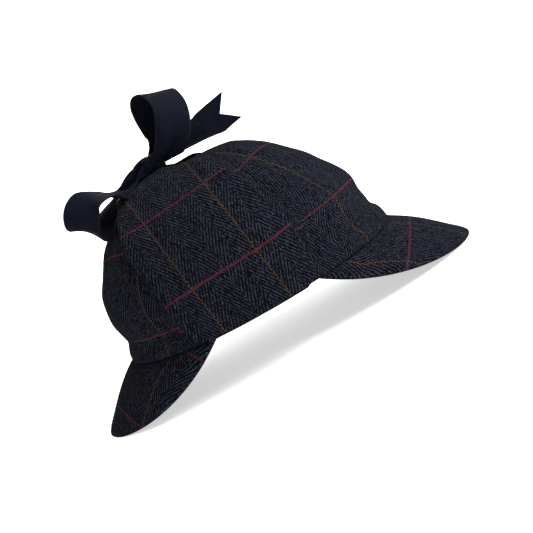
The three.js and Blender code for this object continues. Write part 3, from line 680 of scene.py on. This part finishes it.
def make_ribbon(name, places, across, widths, notch=0.0, pleats=1.5):
    """Both faces of a strip. At each step, the face's direction is the route's direction
    crossed with the way across; where the width is a share w of the whole, the section is
    a wave with a height of sqrt(1 - w^2) / (2.4 pleats) of the half width."""
    steps, columns = 220, 33
    share = np.linspace(0, 1, steps)
    route, way = smooth(places, share), smooth(across, share)
    width = smooth(widths[:, None], share)[:, 0]
    direction = np.gradient(route, axis=0)
    direction /= np.linalg.norm(direction, axis=1, keepdims=True)
    face = np.cross(direction, way)
    face /= np.linalg.norm(face, axis=1, keepdims=True)
    flat = np.cross(face, direction)
    s = np.linspace(-1, 1, columns)
    half = RIBBON_WIDTH / 2
    folded = np.sqrt(np.clip(1 - width ** 2, 0, 1)) / (FOLD_SHARE * pleats)
    wave = folded[:, None] * np.sin(math.pi * pleats * s + FOLD_START)[None, :] * half
    cup = CUP * half * (s[None, :] ** 2 - 0.3)
    cut = notch * ease(share, 0.6, 1)[:, None] * (1 - np.abs(s))[None, :]
    middle = (route[:, None] + flat[:, None] * (s[None, :] * width[:, None] * half)[..., None]
              + face[:, None] * (wave + cup)[..., None] - direction[:, None] * cut[..., None])
    middle = off_the_hat(middle)
    normal = normals_of(middle)
    edge = np.minimum(1 - np.abs(s)[None, :] + 0 * wave, np.minimum(share, 1 - share)[:, None] * 8)
    thick = RIBBON_THICKNESS / 2 * np.sqrt(np.clip(1 - (1 - np.clip(edge / 0.06, 0, 1)) ** 2, 0, 1))
    run = lengths_along(route, 0)
    length = float(run[-1])
    uv = np.stack([s[None, :] * half + 0 * wave, run[:, None] - cut], -1)
    lift = normal * thick[..., None]
    piece = make_cloth(name, middle + lift, middle - lift, uv)
    print(f"{name}: {length:.0f} mm of ribbon")
    return piece, length


def in_bow(table, length):
    """A bow table's places and directions in the hat's frame."""
    places = KNOT_MIDDLE + table[:, :3] @ BOW_AXES * length
    return places, table[:, 3:6] @ BOW_AXES, table[:, 6]


def beside_knot(table, length):
    """The far tail's places, with the ribbon's width along the hat."""
    along_hat = np.tile([1.0, 0, 0], (len(table), 1))
    return KNOT_MIDDLE + table[:, :3] * length, along_hat, table[:, 3]


bow_parts = {
    "bow_loop_front": (in_bow(FRONT_LOOP, FRONT_LOOP_LENGTH), 0.0),
    "bow_loop_rear": (in_bow(REAR_LOOP, REAR_LOOP_LENGTH), 0.0),
    "bow_tail_front": (in_bow(FRONT_TAIL, TAIL_LENGTH), TAIL_NOTCH),
    "bow_tail_far": (beside_knot(FAR_TAIL, TAIL_LENGTH), TAIL_NOTCH),
}
ribbons = {
    node: make_ribbon(node + "_ribbon", *route, notch)
    for node, (route, notch) in bow_parts.items()
}


# %% [markdown]
# ### The knot
# In the real bow the ribbon goes once round its own middle and is pulled tight. It could be
# one more ribbon on a spiral route, but only its outside shows, as a firm lump with a few
# folds across it. So it is a ball pressed towards a block, with the folds as low waves.

# %% Make the knot
def make_knot():
    """A sphere pressed towards a block, with folds that wrap over it: the surface goes in
    and out with a few waves across the way the ribbon goes round."""
    around, up = 96, 60
    turn = 2 * math.pi * np.arange(around) / around
    rise = np.linspace(-math.pi / 2, math.pi / 2, up)
    ball = np.stack([
        np.outer(np.sin(rise), np.ones(around)),
        np.outer(np.cos(rise), np.cos(turn)),
        np.outer(np.cos(rise), np.sin(turn)),
    ], -1) / 2
    block = (np.abs(ball).max(-1, keepdims=True) * 2) ** -0.4
    folds = 1 + 0.05 * np.sin(9 * rise)[:, None] * np.cos(rise)[:, None] + 0.03 * np.sin(
        3 * turn[None, :] + 5 * rise[:, None]) * np.cos(rise)[:, None]
    points = KNOT_MIDDLE + ball * block * folds[..., None] * KNOT_SIZE
    points[0], points[-1] = points[0].mean(0), points[-1].mean(0)
    half = RIBBON_WIDTH / 2
    round_it, across_it = np.linspace(0, 50, around + 1), np.linspace(-half, half, up)
    uv = np.stack(np.meshgrid(round_it, across_it), -1)[..., ::-1]
    quads, places = grid_faces(up, around, True)
    mesh = bpy.data.meshes.new("bow_knot_ribbon")
    mesh.from_pydata((points.reshape(-1, 3) * MM).tolist(), [], quads.tolist())
    layer = mesh.uv_layers.new(name="cloth")
    corner_uv = uv[places[..., 0], places[..., 1]] * MM
    layer.data.foreach_set("uv", corner_uv.reshape(-1).astype(np.float32))
    return finish_mesh("bow_knot_ribbon", mesh)


knot = make_knot()

# %% [markdown]
# ## Materials
# A shader is a tree of small sums. The helpers here write such sums as code, so the weave
# can be read as a formula.


# %% Node helpers
def put(tree, kind, inputs=(), **settings):
    """Add a node, set its settings, and link or set its inputs by name or number."""
    node = tree.nodes.new(kind)
    for key, value in settings.items():
        setattr(node, key, value)
    for key, value in dict(inputs).items():
        if isinstance(value, bpy.types.NodeSocket):
            tree.links.new(value, node.inputs[key])
        else:
            node.inputs[key].default_value = value
    return node


def calc(tree, operation, *values):
    """One Math node on sockets or numbers."""
    return put(tree, "ShaderNodeMath", dict(enumerate(values)), operation=operation).outputs[0]


def blend_colour(tree, share, a, b, kind="MIX"):
    """Colours a and b mixed by a share."""
    node = put(tree, "ShaderNodeMix", {0: share, 6: a, 7: b}, data_type="RGBA", blend_type=kind)
    return node.outputs[2]


def new_group(name, inputs, outputs):
    """A node group with named sockets: name to (socket kind, default)."""
    tree = bpy.data.node_groups.new(name, "ShaderNodeTree")
    for label, (kind, value) in inputs.items():
        socket = tree.interface.new_socket(label, in_out="INPUT", socket_type=kind)
        if value is not None:
            socket.default_value = value
    for label, kind in outputs.items():
        tree.interface.new_socket(label, in_out="OUTPUT", socket_type=kind)
    return tree, put(tree, "NodeGroupInput"), put(tree, "NodeGroupOutput")


# %% [markdown]
# ### Herringbone tweed
# The weave is a twill: each lengthways yarn lies over two crossing yarns, then under two,
# and the next yarn does the same a little higher up. So the raised floats line up in slanting
# rows. In each column they slope one way, and in the next the other. Ochre yarns run up
# between columns, four columns apart, and red ones cross them. Drawing every yarn would
# take millions of faces, so a shader works out which yarn lies on top at each place.

# %% The herringbone group
COLUMN_WIDTH = OCHRE_SPACING / 4
ROW_SPACING = 1.94
ROW_ANGLE = math.radians(27)
YARN_WIDTH = ROW_SPACING / math.cos(ROW_ANGLE) / 4
tweed_group, cloth_in, cloth_out = new_group(
    "herringbone_overcheck",
    {
        "Place": ("NodeSocketVector", None),
        "Dark": ("NodeSocketColor", (0.0008, 0.0011, 0.0023, 1)),
        "Light": ("NodeSocketColor", (0.0245, 0.0262, 0.0352, 1)),
    },
    {"Color": "NodeSocketColor", "Height": "NodeSocketFloat"},
)
t = tweed_group
in_mm = put(t, "ShaderNodeVectorMath",
            {0: cloth_in.outputs["Place"], "Scale": 1000.0}, operation="SCALE")
wobble = put(t, "ShaderNodeTexNoise", {"Vector": in_mm.outputs[0], "Scale": 0.09, "Detail": 2.0})
offset = put(t, "ShaderNodeVectorMath",
             {0: wobble.outputs["Color"], 1: (0.5, 0.5, 0.5)}, operation="SUBTRACT")
shift = put(t, "ShaderNodeVectorMath", {0: offset.outputs[0], "Scale": 1.6}, operation="SCALE")
cloth = put(t, "ShaderNodeVectorMath", {0: in_mm.outputs[0], 1: shift.outputs[0]}, operation="ADD")
parts = put(t, "ShaderNodeSeparateXYZ", {0: cloth.outputs[0]})
u, v = parts.outputs["X"], parts.outputs["Y"]


# %% [markdown]
# Rows of floats slant one way in a column and the other way in the next, because the place
# across is folded back at each column's side. A sine wave over the rows says how high each
# float stands. A random number for each float gives single yarns their own shade.

# %% Which yarn lies on top
in_column = calc(t, "PINGPONG", u, COLUMN_WIDTH)
column = calc(t, "FLOOR", calc(t, "DIVIDE", u, COLUMN_WIDTH))
odd = calc(t, "MULTIPLY", calc(t, "PINGPONG", column, 1.0), 0.5)
stepped = calc(t, "SNAP", in_column, YARN_WIDTH)
slope = calc(t, "SUBTRACT", calc(t, "MULTIPLY", stepped, math.cos(ROW_ANGLE)),
             calc(t, "MULTIPLY", v, math.sin(ROW_ANGLE)))
phase = calc(t, "ADD", calc(t, "DIVIDE", slope, ROW_SPACING), odd)
wave = calc(t, "SINE", calc(t, "MULTIPLY", phase, 2 * math.pi))
ridge = put(t, "ShaderNodeMapRange",
            {0: wave, 1: -0.35, 2: 0.65}, interpolation_type="SMOOTHSTEP").outputs[0]
# Every float is one bit of one yarn, and takes its own shade.
float_number = put(t, "ShaderNodeCombineXYZ", {
    0: calc(t, "FLOOR", calc(t, "DIVIDE", u, YARN_WIDTH)), 1: calc(t, "FLOOR", phase)})
float_shade = put(t, "ShaderNodeTexWhiteNoise",
                  {"Vector": float_number.outputs[0]}, noise_dimensions="2D")
pick = calc(t, "SINE", calc(t, "MULTIPLY", v, 2 * math.pi / (2 * YARN_WIDTH)))
between = calc(t, "SUBTRACT", 1.0, ridge)
crossing = calc(t, "MULTIPLY", between, calc(t, "MULTIPLY_ADD", pick, 0.04, 0.04))
yarn = put(t, "ShaderNodeTexNoise",
           {"Vector": cloth.outputs[0], "Scale": 1.0, "Detail": 3.0, "Roughness": 0.75})
yarn_share = put(t, "ShaderNodeMapRange",
                 {0: yarn.outputs[0], 1: 0.3, 2: 0.7, 3: 0.0, 4: 1.0}).outputs[0]
shade = calc(t, "MULTIPLY_ADD", float_shade.outputs["Value"], 1.25, 0.08)
lit = calc(t, "MULTIPLY", ridge, shade)
lit = calc(t, "ADD", lit, crossing)
lit = calc(t, "MULTIPLY", lit, calc(t, "MULTIPLY_ADD", yarn_share, 1.6, 0.1))
base = blend_colour(t, lit, cloth_in.outputs["Dark"], cloth_in.outputs["Light"])
# Dyed fibres give single threads a brown, violet or pale cast.
cast = put(t, "ShaderNodeTexNoise", {"Vector": cloth.outputs[0], "Scale": 0.55, "Detail": 2.0})
tint = put(t, "ShaderNodeVectorMath",
           {0: cast.outputs["Color"], 1: (1.5, 1.5, 1.8), 2: (0.2, 0.23, 0.14)},
           operation="MULTIPLY_ADD")
tinted = blend_colour(t, 1.0, base, tint.outputs[0], "MULTIPLY")
fleck = put(t, "ShaderNodeTexNoise", {"Vector": cloth.outputs[0], "Scale": 1.1, "Detail": 1.0})
fleck_mask = put(t, "ShaderNodeMapRange", {0: fleck.outputs[0], 1: 0.66, 2: 0.74}).outputs[0]
flecked = blend_colour(t, calc(t, "MULTIPLY", fleck_mask, 0.7), tinted, (0.085, 0.09, 0.11, 1))


# %% [markdown]
# The overcheck is a few coloured yarns among the others. They float and dip as the rest do,
# so the lines are broken up: ochre by its own twist, red by the rows that it crosses.

# %% Ochre and red lines
OCHRE_YARN = (0.060, 0.028, 0.0095, 1)
RED_YARN = (0.066, 0.0112, 0.0170, 1)
OCHRE_WIDTH, RED_WIDTH = 0.95, 1.35
TWIST_LENGTH = 2.3


def line_mask(across, spacing, width, soft=0.2):
    """1 on lines spacing apart and width wide, 0 between them, with soft sides."""
    distance = calc(t, "PINGPONG", across, spacing / 2)
    return put(t, "ShaderNodeMapRange",
               {0: distance, 1: width / 2 + soft, 2: width / 2 - soft}).outputs[0]


twist = calc(t, "SINE", calc(t, "MULTIPLY", v, 2 * math.pi / TWIST_LENGTH))
ochre_float = calc(t, "MULTIPLY_ADD", twist, 0.5, 0.52)
ochre = calc(t, "MULTIPLY", line_mask(u, OCHRE_SPACING, OCHRE_WIDTH), ochre_float)
with_ochre = blend_colour(t, ochre, flecked, OCHRE_YARN)
red_float = calc(t, "MULTIPLY_ADD", between, 0.65, 0.25)
red = calc(t, "MULTIPLY", line_mask(v, RED_SPACING, RED_WIDTH), red_float)
with_red = blend_colour(t, red, with_ochre, RED_YARN)
fuzz = put(t, "ShaderNodeTexNoise", {"Vector": cloth.outputs[0], "Scale": 2.4, "Detail": 4.0})
height = calc(t, "ADD", calc(t, "MULTIPLY", lit, 0.75), calc(t, "MULTIPLY", fuzz.outputs[0], 0.45))
t.links.new(with_red, cloth_out.inputs["Color"])
t.links.new(height, cloth_out.inputs["Height"])


# %% [markdown]
# Wool hardly shines, since light is lost between its fibres. The material is rough, and the
# height of the weave only tilts its normals: the yarns are too thin to be made as faces.

# %% The tweed material
def make_tweed():
    """Wool: rough, with a sheen from its fuzz and a bump from its weave."""
    material = bpy.data.materials.new("tweed")
    material.use_nodes = True
    tree = material.node_tree
    shader = tree.nodes["Principled BSDF"]
    shader.inputs["Roughness"].default_value = 0.95
    shader.inputs["Sheen Weight"].default_value = 0.01
    shader.inputs["Sheen Roughness"].default_value = 0.5
    shader.inputs["Specular IOR Level"].default_value = 0.0
    uv = put(tree, "ShaderNodeUVMap", uv_map="cloth")
    weave = put(tree, "ShaderNodeGroup", node_tree=tweed_group)
    tree.links.new(uv.outputs[0], weave.inputs["Place"])
    bump = put(tree, "ShaderNodeBump",
               {"Height": weave.outputs["Height"], "Strength": 0.7, "Distance": 0.0006})
    tree.links.new(weave.outputs["Color"], shader.inputs["Base Color"])
    tree.links.new(bump.outputs[0], shader.inputs["Normal"])
    return material


tweed = make_tweed()
print(f"tweed: columns {COLUMN_WIDTH:.1f} mm wide, yarns {YARN_WIDTH:.2f} mm")

# %% [markdown]
# ### Corded ribbon
# Its weft is thick, so fine ribs run from edge to edge. They catch the light in thin lines,
# and the selvedges are a little smoother.

# %% The ribbon material
RIB_SPACING = 0.75
RIBBON_DARK = (0.0011, 0.0014, 0.0033, 1)
RIBBON_LIGHT = (0.0046, 0.0056, 0.0118, 1)
SELVEDGE = (0.0056, 0.0066, 0.0125, 1)
SELVEDGE_FROM, SELVEDGE_WHOLE = 11.9, 12.3  # from the ribbon's middle


def make_ribbon_material():
    """Ribs are a sine wave along the ribbon, and the shade varies a little along it."""
    material = bpy.data.materials.new("ribbon")
    material.use_nodes = True
    tree = material.node_tree
    shader = tree.nodes["Principled BSDF"]
    shader.inputs["Roughness"].default_value = 0.7
    shader.inputs["Sheen Weight"].default_value = 0.01
    shader.inputs["Specular IOR Level"].default_value = 0.03
    uv = put(tree, "ShaderNodeUVMap", uv_map="cloth")
    in_mm = put(tree, "ShaderNodeVectorMath",
                {0: uv.outputs[0], "Scale": 1000.0}, operation="SCALE")
    parts = put(tree, "ShaderNodeSeparateXYZ", {0: in_mm.outputs[0]})
    phase = calc(tree, "MULTIPLY", parts.outputs["Y"], 2 * math.pi / RIB_SPACING)
    rib = calc(tree, "MULTIPLY_ADD", calc(tree, "SINE", phase), 0.5, 0.5)
    stretched = put(tree, "ShaderNodeVectorMath",
                    {0: in_mm.outputs[0], 1: (0.25, 2.0, 1.0)}, operation="MULTIPLY")
    noise = put(tree, "ShaderNodeTexNoise",
                {"Vector": stretched.outputs[0], "Scale": 0.6, "Detail": 3.0})
    uneven = calc(tree, "MULTIPLY", noise.outputs[0], 0.6)
    shade = calc(tree, "ADD", calc(tree, "MULTIPLY", rib, 0.5), uneven)
    from_middle = calc(tree, "ABSOLUTE", parts.outputs["X"])
    selvedge = put(tree, "ShaderNodeMapRange",
                   {0: from_middle, 1: SELVEDGE_FROM, 2: SELVEDGE_WHOLE}).outputs[0]
    plain = blend_colour(tree, shade, RIBBON_DARK, RIBBON_LIGHT)
    colour = blend_colour(tree, selvedge, plain, SELVEDGE)
    ribs_end = calc(tree, "MULTIPLY", rib, calc(tree, "SUBTRACT", 1.0, selvedge))
    bump = put(tree, "ShaderNodeBump", {"Height": ribs_end, "Strength": 0.35, "Distance": 0.0002})
    tree.links.new(colour, shader.inputs["Base Color"])
    tree.links.new(bump.outputs[0], shader.inputs["Normal"])
    return material


ribbon = make_ribbon_material()

# %% [markdown]
# ## Put the pieces in the frame
# Each piece stands for its solid, which is hidden, takes the tweed or ribbon material, and
# is hung from the root body.

# %% Dress the nodes
cloths = {
    "crown": crown,
    "front_peak": front_peak,
    "back_peak": back_peak,
    "ear_flap_right": flap_right,
    "ear_flap_left": flap_left,
}
for node, piece in cloths.items():
    piece.data.materials.append(tweed)
    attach(piece, "root")
    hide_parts(node)
for node, (piece, length) in ribbons.items():
    piece.data.materials.append(ribbon)
    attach(piece, "root")
    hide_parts(node)
knot.data.materials.append(ribbon)
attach(knot, "root")
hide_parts("bow_knot")

# %% [markdown]
# ## Stage, light and camera
# A white floor that runs up into a white wall has no line where they meet, and white
# surroundings fill in the shadows. The paper glows a little, as an overexposed one does.

# %% Floor
FLOOR_SIZE, WALL_AT, WALL_HEIGHT, WALL_BEND = 6.0, 2.6, 5.0, 1.2
STAGE_GLOW = 0.55


def make_stage():
    """A strip whose side view is a line, a quarter circle and a line."""
    turn = np.linspace(0, math.pi / 2, 24)
    y = np.concatenate([[-FLOOR_SIZE], WALL_AT + WALL_BEND * np.sin(turn), [WALL_AT + WALL_BEND]])
    z = np.concatenate([[0], WALL_BEND * (1 - np.cos(turn)), [WALL_HEIGHT]])
    x = np.array([-FLOOR_SIZE, FLOOR_SIZE])
    grid = np.stack([np.broadcast_to(x, (len(y), 2)), np.broadcast_to(y[:, None], (len(y), 2)),
                     np.broadcast_to(z[:, None], (len(y), 2))], -1)
    quads, _ = grid_faces(len(y), 2, False)
    mesh = bpy.data.meshes.new("stage")
    mesh.from_pydata(grid.reshape(-1, 3).tolist(), [], quads.tolist())
    for polygon in mesh.polygons:
        polygon.use_smooth = True
    stage = bpy.data.objects.new("stage", mesh)
    bpy.context.scene.collection.objects.link(stage)
    material = bpy.data.materials.new("white_paper")
    material.use_nodes = True
    shader = material.node_tree.nodes["Principled BSDF"]
    shader.inputs["Base Color"].default_value = (0.9, 0.9, 0.9, 1)
    shader.inputs["Roughness"].default_value = 0.9
    shader.inputs["Emission Color"].default_value = (1, 1, 1, 1)
    shader.inputs["Emission Strength"].default_value = STAGE_GLOW
    mesh.materials.append(material)


make_stage()

# %% [markdown]
# The bow was laid out in the picture's own right, up and near directions. They are the
# camera's too, so it looks along the last of them at a point inside the hat. A long lens
# from far enough away keeps the near and far sides in proportion.

# %% Camera, at the photograph's angle
AIM = np.array([CROWN_CENTRE + 12.1, 0, RIM_HEIGHT + 10.7]) * MM
LENS, SENSOR = 100.0, 36.0
VIEW_WIDTH = 0.3766  # what the picture spans at the hat
distance = VIEW_WIDTH * LENS / SENSOR
camera_data = bpy.data.cameras.new("camera")
camera_data.lens, camera_data.sensor_width = LENS, SENSOR
camera_data.clip_start, camera_data.clip_end = 0.05, 50
camera = bpy.data.objects.new("camera", camera_data)
bpy.context.scene.collection.objects.link(camera)
turned = Matrix([list(axis) for axis in BOW_AXES]).transposed().to_4x4()
place = AIM + BOW_AXES[2] * distance
camera.matrix_world = Matrix.Translation(place.tolist()) @ turned
bpy.context.scene.camera = camera
print(f"camera {distance:.2f} m from the hat")

# %% [markdown]
# A sun that fills a wide angle gives the soft shadows of a large lamp, whatever the distance.
# It shines from over the front peak, where the cloth is lightest.

# %% Light
scene = bpy.context.scene
scene.view_settings.view_transform = "Standard"
world = bpy.data.worlds.new("studio")
scene.world = world
world.use_nodes = True
world.node_tree.nodes["Background"].inputs["Color"].default_value = (1, 1, 1, 1)
world.node_tree.nodes["Background"].inputs["Strength"].default_value = 0.52


def soft_sun(name, from_hat, spread, strength):
    """A sun that shines from a direction. The angle that it fills softens its shadows."""
    data = bpy.data.lights.new(name, "SUN")
    data.angle, data.energy = math.radians(spread), strength
    light = bpy.data.objects.new(name, data)
    scene.collection.objects.link(light)
    back = np.array(from_hat, float) / np.linalg.norm(from_hat)
    aside = np.cross([0, 0, 1.0], back)
    aside /= np.linalg.norm(aside)
    axes = [aside.tolist(), np.cross(back, aside).tolist(), back.tolist()]
    turn = Matrix(axes).transposed().to_4x4()
    light.matrix_world = Matrix.Translation((AIM + back).tolist()) @ turn


soft_sun("key", (0.72, -0.24, 0.66), 45, 5.4)
